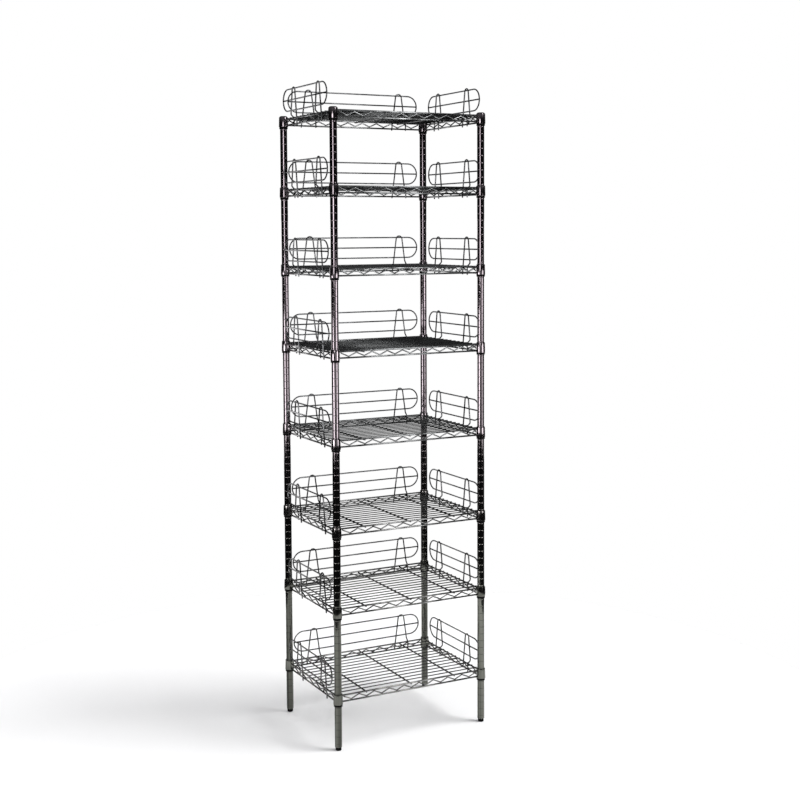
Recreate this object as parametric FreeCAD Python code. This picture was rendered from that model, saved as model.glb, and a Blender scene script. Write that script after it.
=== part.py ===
import FreeCAD, Part
import math
import os

os.makedirs("parts", exist_ok=True)

Vector = FreeCAD.Vector
ORIGIN = Vector(0, 0, 0)
UP = Vector(0, 0, 1)
FULL_TURN = 360.0
HALF_TURN = 180.0
QUARTER_TURN = 90.0

# Posts: four round tubes with a shallow rolled groove every inch, counted from the lower end.
post_spacing_x = 576.0
post_spacing_y = 424.0
post_diameter = 25.4
post_wall = 1.4
post_edge = 0.5
groove_pitch = 25.4
groove_width = 3.2
groove_depth = 0.6
first_groove = 13.0

# Groove that carries each shelf, from the lowest shelf to the top one, in the last groove.
shelf_grooves = (6, 18, 29, 41, 53, 64, 75, 85)

# Caps on the posts and levelling feet under them.
cap_flange = 2.0
cap_rim_step = 0.3
cap_dome = 0.8
cap_plug_length = 16.0
cap_plug_lead = 1.0
cap_clearance = 0.1
foot_height = 12.0
foot_diameter = 21.0
foot_edge = 2.6
foot_shoulder = 1.0
foot_clearance = 0.3
foot_travel = 15.0
stem_diameter = 9.5
stem_engagement = 8.0
stem_lead = 1.0
insert_length = 26.0
insert_chamfer = 1.0
stem_clearance = 0.2

# Split sleeves: two tapered half shells round the post with an inner rib in one groove.
sleeve_height = 44.0
sleeve_rib_side_clearance = 0.3
sleeve_rib_depth_clearance = 0.15
sleeve_lower_wall = 2.6
sleeve_upper_wall = 1.4
sleeve_edge = 1.2
sleeve_split = 1.0
sleeve_wedges = 5

# Shelf collars: tapered rings that wedge on the sleeves.
collar_bottom = 7.5
collar_height = 35.0
collar_wall = 1.6
collar_edge = 0.5
collar_seat_clearance = 0.12

# Shelf wires; heights are measured from the lower end of the sleeves.
frame_wire_diameter = 6.0
snake_wire_diameter = 4.0
cross_wire_diameter = 5.5
deck_wire_diameter = 3.4
long_top_height = 36.0
long_truss_height = 22.0
side_truss_height = 20.0
weld_bite = 0.4
snake_half_pitch = 29.6
snake_bend_radius = 5.0
snake_collar_gap = 6.0
deck_wire_count = 13
deck_edge_gap = 33.2
deck_overhang = 2.0
cross_wire_offset = 177.0
collar_weld_depth = 0.8

# Ledges: a rounded wire loop with a middle wire, carried by two hairpins that straddle the truss.
ledge_wire_diameter = 5.0
ledge_loop_bottom = 26.5
ledge_loop_height = 76.2
back_ledge_inset = 23.0
side_ledge_inset = 26.0
ledge_clearance = 0.3
hairpin_foot_spread = 22.0
hairpin_top_spread = 11.5
hairpin_head_drop = 5.0
hairpin_tail = 28.0
jog_angle = 45.0
back_hairpin_shift = 9.0
side_hairpin_deck_gaps = 7

# Overrun of each cut past the metal.
cut_overrun = 2.0

post_radius = post_diameter / 2
post_bore = post_radius - post_wall
half_x = post_spacing_x / 2
half_y = post_spacing_y / 2
sleeve_rib_height = sleeve_height / 2
sleeve_rib_width = groove_width - 2 * sleeve_rib_side_clearance
sleeve_rib_depth = groove_depth - sleeve_rib_depth_clearance
sleeve_lower_radius = post_radius + sleeve_lower_wall
sleeve_upper_radius = post_radius + sleeve_upper_wall
groove_count = shelf_grooves[-1] + 1
last_groove = first_groove + shelf_grooves[-1] * groove_pitch
post_length = last_groove + sleeve_height - sleeve_rib_height
post_top = foot_height + post_length
corners = {
    "front_left": Vector(-half_x, -half_y, 0),
    "front_right": Vector(half_x, -half_y, 0),
    "back_left": Vector(-half_x, half_y, 0),
    "back_right": Vector(half_x, half_y, 0),
}

frame_radius = frame_wire_diameter / 2
snake_radius = snake_wire_diameter / 2
cross_radius = cross_wire_diameter / 2
deck_radius = deck_wire_diameter / 2
ledge_radius = ledge_wire_diameter / 2
long_bottom_height = long_top_height - long_truss_height
side_top_height = long_top_height - deck_radius - frame_radius + weld_bite
side_bottom_height = side_top_height - side_truss_height
cross_height = long_top_height - deck_radius - cross_radius + weld_bite
deck_pitch = (post_spacing_y - 2 * deck_edge_gap) / (deck_wire_count - 1)
back_ledge_length = post_spacing_x - 2 * back_ledge_inset
side_ledge_length = post_spacing_y - 2 * side_ledge_inset
back_hairpin_offset = cross_wire_offset + back_hairpin_shift
side_hairpin_offset = side_hairpin_deck_gaps * deck_pitch / 2


def write_step(name, shape):
    shape.exportStep("parts/" + name + ".step")


def point_xz(radius, height):
    return Vector(radius, 0, height)


def line(start, end):
    return Part.LineSegment(start, end).toShape()


def arc(start, middle, end):
    return Part.Arc(start, middle, end).toShape()


def lathe(edges, angle=FULL_TURN):
    """Solid of revolution about Z from a closed outline in the XZ plane."""
    face = Part.Face(Part.Wire(edges))
    return face.revolve(ORIGIN, UP, angle)


def lathe_points(points):
    """Solid of revolution from a closed polygon of radius and height pairs."""
    corners_xz = [point_xz(radius, height) for radius, height in points]
    return lathe(Part.makePolygon(corners_xz + corners_xz[:1]).Edges)


def rod(start, end, radius):
    """Straight round wire between two points."""
    run = end.sub(start)
    return Part.makeCylinder(radius, run.Length, start, run)


def bent_path(points, bend_radius):
    """Edges along a run of points, each inner corner rounded to the bend radius."""
    edges = []
    previous = points[0]
    for before, corner, after in zip(points, points[1:], points[2:]):
        into = before.sub(corner).normalize()
        out = after.sub(corner).normalize()
        half_angle = into.getAngle(out) / 2
        reach = bend_radius / math.tan(half_angle)
        bisector = into.add(out).normalize()
        depth = bend_radius / math.sin(half_angle) - bend_radius
        start = corner.add(Vector(into).multiply(reach))
        middle = corner.add(Vector(bisector).multiply(depth))
        end = corner.add(Vector(out).multiply(reach))
        edges.append(line(previous, start))
        edges.append(arc(start, middle, end))
        previous = end
    edges.append(line(previous, points[-1]))
    return edges


def swept_wire(edges, radius):
    """Round wire swept along edges that run on from one another."""
    path = Part.Wire(edges)
    first = edges[0]
    start = first.valueAt(first.FirstParameter)
    direction = first.tangentAt(first.FirstParameter)
    section = Part.Wire([Part.Circle(start, direction, radius).toShape()])
    return path.makePipeShell([section], True, False)


def moved(shape, offset):
    copy = shape.copy()
    copy.translate(offset)
    return copy


def turned(shape, angle):
    copy = shape.copy()
    copy.rotate(ORIGIN, UP, angle)
    return copy


def make_post():
    """Grooved tube standing on the XY plane."""
    half_width = groove_width / 2
    edges = []
    below = point_xz(post_radius, post_edge)
    edges.append(line(point_xz(post_radius - post_edge, 0), below))
    for index in range(groove_count):
        height = first_groove + index * groove_pitch
        lower = point_xz(post_radius, height - half_width)
        middle = point_xz(post_radius - groove_depth, height)
        upper = point_xz(post_radius, height + half_width)
        edges.append(line(below, lower))
        edges.append(arc(lower, middle, upper))
        below = upper
    top_outer = point_xz(post_radius, post_length - post_edge)
    top_edge = point_xz(post_radius - post_edge, post_length)
    edges.append(line(below, top_outer))
    edges.append(line(top_outer, top_edge))
    edges.append(line(top_edge, point_xz(post_bore, post_length)))
    edges.append(line(point_xz(post_bore, post_length), point_xz(post_bore, 0)))
    edges.append(line(point_xz(post_bore, 0), point_xz(post_radius - post_edge, 0)))
    return lathe(edges)


def make_cap():
    """Plug with a low domed head; the head rests on the post end at height zero."""
    head = post_radius - cap_rim_step
    plug = post_bore - cap_clearance
    crown = cap_flange + cap_dome
    rim = point_xz(head, cap_flange)
    centre_top = point_xz(0, crown)
    swell = (head ** 2 + cap_dome ** 2) / (2 * cap_dome)
    half_head = head / 2
    middle = point_xz(half_head, crown - swell + math.sqrt(swell ** 2 - half_head ** 2))
    plug_end = point_xz(0, -cap_plug_length)
    plug_lead = point_xz(plug - cap_plug_lead, -cap_plug_length)
    plug_side = point_xz(plug, cap_plug_lead - cap_plug_length)
    edges = [
        line(plug_end, plug_lead),
        line(plug_lead, plug_side),
        line(plug_side, point_xz(plug, 0)),
        line(point_xz(plug, 0), point_xz(head, 0)),
        line(point_xz(head, 0), rim),
        arc(rim, middle, centre_top),
        line(centre_top, plug_end),
    ]
    return lathe(edges)


def make_insert():
    """Threaded bush pressed into the lower end of a post, lower face at height zero."""
    bore = stem_diameter / 2 + stem_clearance
    return lathe_points([
        (bore + insert_chamfer, 0),
        (post_bore, 0),
        (post_bore, insert_length - insert_chamfer),
        (post_bore - insert_chamfer, insert_length),
        (bore, insert_length),
        (bore, insert_chamfer),
    ])


def make_foot():
    """Levelling foot: a rounded black pad with a steel stem, standing on the XY plane."""
    pad = foot_diameter / 2
    stem = stem_diameter / 2
    pad_top = foot_height - foot_clearance
    stem_top = pad_top + foot_travel + stem_engagement
    slant = foot_edge * (1 - math.sin(math.radians(QUARTER_TURN / 2)))
    edges = [
        line(point_xz(0, 0), point_xz(pad - foot_edge, 0)),
        arc(point_xz(pad - foot_edge, 0), point_xz(pad - slant, slant), point_xz(pad, foot_edge)),
        line(point_xz(pad, foot_edge), point_xz(pad, pad_top - foot_shoulder)),
        line(point_xz(pad, pad_top - foot_shoulder), point_xz(pad - foot_shoulder, pad_top)),
        line(point_xz(pad - foot_shoulder, pad_top), point_xz(stem, pad_top)),
        line(point_xz(stem, pad_top), point_xz(stem, stem_top - stem_lead)),
        line(point_xz(stem, stem_top - stem_lead), point_xz(stem - stem_lead, stem_top)),
        line(point_xz(stem - stem_lead, stem_top), point_xz(0, stem_top)),
        line(point_xz(0, stem_top), point_xz(0, 0)),
    ]
    return lathe(edges)


def sleeve_radius_at(height):
    fall = (sleeve_lower_radius - sleeve_upper_radius) / sleeve_height
    return sleeve_lower_radius - fall * height


def make_sleeve():
    """Two half shells about Z, lower ends at height zero, each joined from equal wedges."""
    half_rib = sleeve_rib_width / 2
    rib_low = point_xz(post_radius, sleeve_rib_height - half_rib)
    rib_mid = point_xz(post_radius - sleeve_rib_depth, sleeve_rib_height)
    rib_high = point_xz(post_radius, sleeve_rib_height + half_rib)
    lower_inner = point_xz(post_radius, 0)
    lower_edge = point_xz(sleeve_lower_radius - sleeve_edge, 0)
    lower_outer = point_xz(sleeve_radius_at(sleeve_edge), sleeve_edge)
    slant = sleeve_edge * (1 - math.sin(math.radians(QUARTER_TURN / 2)))
    lower_round = point_xz(sleeve_lower_radius - slant, slant)
    upper_outer = point_xz(sleeve_upper_radius, sleeve_height)
    upper_inner = point_xz(post_radius, sleeve_height)
    wedge_angle = HALF_TURN / sleeve_wedges
    wedge = lathe([
        line(lower_inner, lower_edge),
        arc(lower_edge, lower_round, lower_outer),
        line(lower_outer, upper_outer),
        line(upper_outer, upper_inner),
        line(upper_inner, rib_high),
        arc(rib_high, rib_mid, rib_low),
        line(rib_low, lower_inner),
    ], wedge_angle)
    wedges = [turned(wedge, index * wedge_angle) for index in range(sleeve_wedges)]
    shell = wedges[0].multiFuse(wedges[1:])
    width = 2 * (sleeve_lower_radius + cut_overrun)
    height = sleeve_height + 2 * cut_overrun
    corner = Vector(-width / 2, -sleeve_split / 2, -cut_overrun)
    slot = Part.makeBox(width, sleeve_split, height, corner)
    half = shell.cut(slot).Solids[0]
    return [half, turned(half, HALF_TURN)]


def make_collar():
    """Tapered ring that seats on the sleeve; heights from the lower end of the sleeve."""
    top = collar_bottom + collar_height
    inner_low = sleeve_radius_at(collar_bottom) + collar_seat_clearance
    inner_high = sleeve_radius_at(top) + collar_seat_clearance
    outer_low = inner_low + collar_wall
    outer_high = inner_high + collar_wall
    return lathe_points([
        (inner_low, collar_bottom),
        (outer_low - collar_edge, collar_bottom),
        (outer_low, collar_bottom + collar_edge),
        (outer_high, top - collar_edge),
        (outer_high - collar_edge, top),
        (inner_high, top),
    ])


def collar_reach(height):
    """Distance from the post axis at which a wire is welded into the collar."""
    return sleeve_radius_at(height) + collar_seat_clearance + collar_wall - collar_weld_depth


def make_snake(half_run, bottom_height, truss_height):
    """Zigzag wire in the XZ plane between the top and bottom wires of a truss."""
    tuck = frame_radius + snake_radius - weld_bite
    valley = bottom_height + tuck
    peak = bottom_height + truss_height - tuck
    steps = round(half_run / snake_half_pitch)
    step_run = half_run / steps
    half_steps = range(-steps, steps + 1)
    points = [Vector(step * step_run, 0, peak if step % 2 else valley) for step in half_steps]
    return swept_wire(bent_path(points, snake_bend_radius), snake_radius)


def make_truss(half_length, top_height, truss_height):
    """Edge truss along X between two collars centred at plus and minus the half length."""
    bottom_height = top_height - truss_height
    pieces = []
    for height in (top_height, bottom_height):
        end = half_length - collar_reach(height)
        pieces.append(rod(Vector(-end, 0, height), Vector(end, 0, height), frame_radius))
    half_run = half_length - collar_reach(top_height) - snake_collar_gap
    pieces.append(make_snake(half_run, bottom_height, truss_height))
    return pieces


def make_shelf():
    """Welded shelf: corner collars, four trusses, cross wires and deck wires."""
    collar = make_collar()
    pieces = [moved(collar, corner) for corner in corners.values()]
    for piece in make_truss(half_x, long_top_height, long_truss_height):
        pieces.append(moved(piece, Vector(0, -half_y, 0)))
        pieces.append(moved(piece, Vector(0, half_y, 0)))
    for piece in make_truss(half_y, side_top_height, side_truss_height):
        side = turned(piece, QUARTER_TURN)
        pieces.append(moved(side, Vector(-half_x, 0, 0)))
        pieces.append(moved(side, Vector(half_x, 0, 0)))
    for x in (-cross_wire_offset, 0, cross_wire_offset):
        start = Vector(x, -half_y, cross_height)
        pieces.append(rod(start, Vector(x, half_y, cross_height), cross_radius))
    deck_end = half_x + deck_overhang
    for index in range(deck_wire_count):
        y = deck_edge_gap + index * deck_pitch - half_y
        start = Vector(-deck_end, y, long_top_height)
        pieces.append(rod(start, Vector(deck_end, y, long_top_height), deck_radius))
    return pieces


def make_hairpin():
    """Hairpin over a truss whose top wire lies on the X axis; the shelf is on the minus Y side.

    The leg towards minus X runs straight down outside the truss. The other leg jogs over the
    top wire and runs down inside.
    """
    stand_off = frame_radius + ledge_radius + ledge_clearance
    head_base = ledge_loop_bottom + ledge_loop_height - hairpin_head_drop
    lean = (hairpin_foot_spread - hairpin_top_spread) / ledge_loop_height
    slope = math.atan(lean)

    def spread_at(height):
        return hairpin_foot_spread + lean * (ledge_loop_bottom - height)

    head_spread = spread_at(head_base)
    head_radius = head_spread / math.cos(slope)
    head_centre = head_base - head_spread * math.tan(slope)
    head_top = head_centre + head_radius
    tangent_x = head_radius * math.cos(slope)
    tangent_z = head_centre + head_radius * math.sin(slope)
    apex = Vector(0, stand_off, head_top)
    left_tangent = Vector(-tangent_x, stand_off, tangent_z)
    right_tangent = Vector(tangent_x, stand_off, tangent_z)

    jog = math.radians(jog_angle)
    jog_run = 2 * stand_off
    jog_low = stand_off * math.tan(jog / 2)
    jog_high = jog_low + jog_run * math.tan(jog)
    inner_x = spread_at(jog_high)
    left_end = Vector(-spread_at(-hairpin_tail), stand_off, -hairpin_tail)
    inner_points = [
        right_tangent,
        Vector(inner_x, stand_off, jog_high),
        Vector(inner_x, -stand_off, jog_low),
        Vector(inner_x, -stand_off, -hairpin_tail),
    ]
    edges = [line(left_end, left_tangent), arc(left_tangent, apex, right_tangent)]
    edges += bent_path(inner_points, stand_off)
    return swept_wire(edges, ledge_radius)


def make_ledge(length, hairpin_offset):
    """Ledge along X over a truss whose top wire lies on the X axis; the loop is outermost."""
    half_length = length / 2
    stand_off = frame_radius + ledge_radius + ledge_clearance
    loop_y = stand_off + ledge_wire_diameter - weld_bite
    end_radius = ledge_loop_height / 2
    straight = half_length - end_radius
    bottom = ledge_loop_bottom
    middle = bottom + end_radius
    top = bottom + ledge_loop_height
    loop = [
        line(Vector(0, loop_y, bottom), Vector(straight, loop_y, bottom)),
        arc(
            Vector(straight, loop_y, bottom),
            Vector(half_length, loop_y, middle),
            Vector(straight, loop_y, top),
        ),
        line(Vector(straight, loop_y, top), Vector(-straight, loop_y, top)),
        arc(
            Vector(-straight, loop_y, top),
            Vector(-half_length, loop_y, middle),
            Vector(-straight, loop_y, bottom),
        ),
        line(Vector(-straight, loop_y, bottom), Vector(0, loop_y, bottom)),
    ]
    middle_end = half_length - ledge_radius + weld_bite
    middle_start = Vector(-middle_end, loop_y, middle)
    hairpin = make_hairpin()
    return [
        swept_wire(loop, ledge_radius),
        rod(middle_start, Vector(middle_end, loop_y, middle), ledge_radius),
        moved(hairpin, Vector(-hairpin_offset, 0, 0)),
        moved(hairpin, Vector(hairpin_offset, 0, 0)),
    ]


post = make_post()
cap = make_cap()
insert = make_insert()
foot = make_foot()
for place, corner in corners.items():
    on_post = corner.add(Vector(0, 0, foot_height))
    write_step("post_" + place, moved(post, on_post))
    write_step("cap_" + place, moved(cap, corner.add(Vector(0, 0, post_top))))
    write_step("insert_" + place, moved(insert, on_post))
    write_step("foot_" + place, moved(foot, corner))

sleeve = make_sleeve()
sleeve_set = [moved(half, corner) for corner in corners.values() for half in sleeve]
sleeves = Part.makeCompound(sleeve_set)
shelf = Part.makeCompound(make_shelf())
long_ledge = Part.makeCompound(make_ledge(back_ledge_length, back_hairpin_offset))
side_ledge = Part.makeCompound(make_ledge(side_ledge_length, side_hairpin_offset))
back_seat = Vector(0, half_y, long_top_height)
left_seat = Vector(-half_x, 0, side_top_height)
right_seat = Vector(half_x, 0, side_top_height)
ledges = {
    "back_ledge": moved(long_ledge, back_seat),
    "left_ledge": moved(turned(side_ledge, QUARTER_TURN), left_seat),
    "right_ledge": moved(turned(side_ledge, -QUARTER_TURN), right_seat),
}

for number, groove in enumerate(shelf_grooves, start=1):
    rib_level = foot_height + first_groove + groove * groove_pitch
    level = Vector(0, 0, rib_level - sleeve_rib_height)
    write_step("sleeves_" + str(number), moved(sleeves, level))
    write_step("shelf_" + str(number), moved(shelf, level))
    for kind, ledge in ledges.items():
        write_step(kind + "_" + str(number), moved(ledge, level))
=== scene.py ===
"""Looks of a tall plated wire shelving unit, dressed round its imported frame.

Lengths are in metres. Heights within a shelf start at the lower end of its sleeves, and heights
within a ledge start at the top wire that it hangs on.
"""

import logging
import math
from dataclasses import dataclass, field
from enum import Enum
from typing import Sequence

import bmesh
import bpy
from mathutils import Matrix, Vector


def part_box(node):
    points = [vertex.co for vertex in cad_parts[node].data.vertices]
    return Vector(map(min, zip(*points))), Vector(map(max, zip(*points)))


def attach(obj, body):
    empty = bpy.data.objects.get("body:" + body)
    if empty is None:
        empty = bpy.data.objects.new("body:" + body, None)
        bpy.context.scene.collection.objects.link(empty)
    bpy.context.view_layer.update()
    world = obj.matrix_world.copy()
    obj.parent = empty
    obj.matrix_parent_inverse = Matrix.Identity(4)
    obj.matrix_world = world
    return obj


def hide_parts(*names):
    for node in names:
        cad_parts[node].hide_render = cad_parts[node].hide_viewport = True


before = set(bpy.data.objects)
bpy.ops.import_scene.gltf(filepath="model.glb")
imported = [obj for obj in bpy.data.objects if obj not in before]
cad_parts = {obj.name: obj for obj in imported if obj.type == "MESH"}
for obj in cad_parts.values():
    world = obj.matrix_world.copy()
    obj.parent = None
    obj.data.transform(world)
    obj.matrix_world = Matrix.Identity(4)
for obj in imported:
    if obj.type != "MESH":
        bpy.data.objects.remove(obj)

LOG = logging.getLogger("shelving")
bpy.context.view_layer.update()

FULL_TURN = 2 * math.pi
QUARTER_TURN = math.pi / 2
WIRE_RADIUS_NAME = "wire_radius"
SHARP_ANGLE = math.radians(38)
SEAM_DISTANCE = 1e-6
ORIGIN = Vector().freeze()
NOISE_LOW, NOISE_HIGH = 0.3, 0.7
WIRE_END_SHARES = ((0.0, 0.6), (0.14, 0.88), (0.42, 1.0))

Outline = list[tuple[float, float]]
Tone = tuple[float, float, float]
Stretch = tuple[float, float, float]
Socket = bpy.types.NodeSocket


class Place(Enum):
    """The four corners of the unit, seen from its open front."""

    FRONT_LEFT = "front_left"
    FRONT_RIGHT = "front_right"
    BACK_LEFT = "back_left"
    BACK_RIGHT = "back_right"


class Side(Enum):
    """The sides of a shelf that carry a ledge."""

    BACK = "back_ledge"
    LEFT = "left_ledge"
    RIGHT = "right_ledge"


class SocketKind(Enum):
    """Kinds of inputs that a geometry tree takes."""

    NUMBER = "NodeSocketFloat"
    COUNT = "NodeSocketInt"
    VECTOR = "NodeSocketVector"
    FINISH = "NodeSocketMaterial"


class Slot(Enum):
    """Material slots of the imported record."""

    POST = "chrome_post"
    WIRE = "chrome_wire"
    BLACK = "black_plastic"
    FOOT = "black_foot"
    ZINC = "zinc_steel"


# Shader graphs and finishes


def even(value: float) -> tuple[float, float, float]:
    """The same value on all three axes or in all three colours."""
    return (value, value, value)


class ShaderGraph:
    """A material's node tree with short calls for the nodes that the finishes share."""

    def __init__(self, name: str) -> None:
        """Starts an empty material.

        Args:
            name: Name of the material.
        """
        self.material = bpy.data.materials.new(name)
        self.material.use_nodes = True
        self.nodes = self.material.node_tree.nodes
        self.links = self.material.node_tree.links
        self.nodes.clear()
        self.output = self.nodes.new("ShaderNodeOutputMaterial")
        self.shader = self.nodes.new("ShaderNodeBsdfPrincipled")
        self.links.new(self.shader.outputs["BSDF"], self.output.inputs["Surface"])
        self.place = self.nodes.new("ShaderNodeTexCoord").outputs["Object"]

    def noise(self, stretch: Stretch, detail: float) -> Socket:
        """Noise in the frame's own coordinates.

        Args:
            stretch: Waves per metre along each axis.
            detail: Octaves of finer noise.

        Returns:
            The noise value.
        """
        mapping = self.nodes.new("ShaderNodeMapping")
        mapping.inputs["Scale"].default_value = stretch
        self.links.new(self.place, mapping.inputs["Vector"])
        noise = self.nodes.new("ShaderNodeTexNoise")
        noise.inputs["Scale"].default_value = 1.0
        noise.inputs["Detail"].default_value = detail
        self.links.new(mapping.outputs["Vector"], noise.inputs["Vector"])
        return noise.outputs["Fac"]

    def ramp(self, value: Socket, stops: Sequence[tuple[float, Tone]]) -> Socket:
        """Colour ramp over a value.

        Args:
            value: The value that is looked up.
            stops: Positions and their colours.

        Returns:
            The colour.
        """
        node = self.nodes.new("ShaderNodeValToRGB")
        elements = node.color_ramp.elements
        while len(elements) < len(stops):
            elements.new(1.0)
        for element, (position, colour) in zip(elements, stops):
            element.position = position
            element.color = (*colour, 1.0)
        self.links.new(value, node.inputs["Fac"])
        return node.outputs["Color"]

    def span(self, value: Socket, low: float, high: float) -> Socket:
        """Maps a noise value to a range.

        Args:
            value: The noise.
            low: Result where the noise is low.
            high: Result where the noise is high.

        Returns:
            The mapped value.
        """
        node = self.nodes.new("ShaderNodeMapRange")
        node.inputs["From Min"].default_value = NOISE_LOW
        node.inputs["From Max"].default_value = NOISE_HIGH
        node.inputs["To Min"].default_value = low
        node.inputs["To Max"].default_value = high
        self.links.new(value, node.inputs["Value"])
        return node.outputs["Result"]

    def tinted(
        self, colour: Socket, low: Tone, high: Tone, heights: tuple[float, float]
    ) -> Socket:
        """Tints a colour by its height on the unit, as painted reflection: the tints stand in for the
        colour of what the metal mirrors at each height.

        Args:
            colour: The colour that is tinted.
            low: Tint at and below the lower height.
            high: Tint at and above the upper height.
            heights: The two heights in metres.

        Returns:
            The tinted colour.
        """
        split = self.nodes.new("ShaderNodeSeparateXYZ")
        self.links.new(self.place, split.inputs["Vector"])
        rise = self.nodes.new("ShaderNodeMapRange")
        rise.inputs["From Min"].default_value, rise.inputs["From Max"].default_value = heights
        self.links.new(split.outputs["Z"], rise.inputs["Value"])
        tint = self.ramp(rise.outputs["Result"], [(0.0, low), (1.0, high)])
        blend = self.nodes.new("ShaderNodeMix")
        blend.data_type = "RGBA"
        blend.blend_type = "MULTIPLY"
        takes = {socket.identifier: socket for socket in blend.inputs}
        gives = {socket.identifier: socket for socket in blend.outputs}
        takes["Factor_Float"].default_value = 1.0
        self.links.new(colour, takes["A_Color"])
        self.links.new(tint, takes["B_Color"])
        return gives["Result_Color"]

    def bump(self, height: Socket, strength: float, depth: float) -> None:
        """Bumps the surface.

        Args:
            height: Height value.
            strength: How much of the bump shows.
            depth: Depth in metres.
        """
        node = self.nodes.new("ShaderNodeBump")
        node.inputs["Strength"].default_value = strength
        node.inputs["Distance"].default_value = depth
        self.links.new(height, node.inputs["Height"])
        self.links.new(node.outputs["Normal"], self.shader.inputs["Normal"])

    def feed(self, name: str, value: Socket) -> None:
        """Feeds a value into the shader's named socket."""
        self.links.new(value, self.shader.inputs[name])

    def fix(self, name: str, value: float) -> None:
        """Sets a constant on the shader's named socket."""
        self.shader.inputs[name].default_value = value


@dataclass(frozen=True)
class PlatedFinish:
    """Bright plating over drawn steel, with cloudy tone, drawing streaks, fine waviness and a painted
    reflection tint that changes with height.
    """

    name: str
    dark: Tone
    light: Tone
    cloud: Stretch
    streak: Stretch
    smooth: float
    rough: float
    wave_depth: float
    # Painted reflection tint: multiplies the colour, from the low tint at and below the lower height to
    # the high tint at and above the upper one.
    low_reflection_tint: Tone = (1.0, 1.0, 0.97)
    high_reflection_tint: Tone = (0.96, 1.0, 1.0)
    reflection_tint_heights: tuple[float, float] = (0.45, 1.1)
    cloud_detail: float = 3.0
    streak_detail: float = 4.0
    wave_strength: float = 0.25

    def material(self) -> bpy.types.Material:
        """Builds the material.

        Returns:
            The material.
        """
        graph = ShaderGraph(self.name)
        graph.fix("Metallic", 1.0)
        cloud = graph.noise(self.cloud, self.cloud_detail)
        streak = graph.noise(self.streak, self.streak_detail)
        tone = graph.ramp(cloud, [(NOISE_LOW, self.dark), (NOISE_HIGH, self.light)])
        # Painted reflection: the colour is multiplied by a tint that changes with height, standing in for
        # the colour of what the metal mirrors.
        graph.feed("Base Color", graph.tinted(tone, self.low_reflection_tint, self.high_reflection_tint, self.reflection_tint_heights))
        graph.feed("Roughness", graph.span(streak, self.smooth, self.rough))
        graph.bump(streak, self.wave_strength, self.wave_depth)
        return graph.material


@dataclass(frozen=True)
class MouldedFinish:
    """Black moulded plastic with a fine spark-eroded grain and worn, slightly shinier patches."""

    name: str
    deep: Tone
    worn: Tone
    grain_scale: float
    smooth: float
    rough: float
    grain_depth: float
    patch_scale: float = 24.0
    patch_detail: float = 3.0
    patch_edges: tuple[float, float] = (0.35, 0.75)
    grain_detail: float = 2.0
    grain_strength: float = 0.4
    shine: float = 0.06

    def material(self) -> bpy.types.Material:
        """Builds the material.

        Returns:
            The material.
        """
        graph = ShaderGraph(self.name)
        patch = graph.noise(even(self.patch_scale), self.patch_detail)
        grain = graph.noise(even(self.grain_scale), self.grain_detail)
        stops = list(zip(self.patch_edges, (self.deep, self.worn)))
        graph.feed("Base Color", graph.ramp(patch, stops))
        graph.feed("Roughness", graph.span(patch, self.rough, self.smooth))
        graph.bump(grain, self.grain_strength, self.grain_depth)
        graph.fix("Specular IOR Level", self.shine)
        return graph.material


@dataclass(frozen=True)
class FloorFinish:
    """Plain pale studio floor with a faint tone variation."""

    name: str
    low: Tone
    high: Tone
    tone_scale: float = 0.8
    tone_detail: float = 2.0
    rough: float = 0.9
    shine: float = 0.1

    def material(self) -> bpy.types.Material:
        """Builds the material.

        Returns:
            The material.
        """
        graph = ShaderGraph(self.name)
        tone = graph.noise(even(self.tone_scale), self.tone_detail)
        graph.feed("Base Color", graph.ramp(tone, [(NOISE_LOW, self.low), (NOISE_HIGH, self.high)]))
        graph.fix("Roughness", self.rough)
        graph.fix("Specular IOR Level", self.shine)
        return graph.material


# Geometry trees


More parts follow.
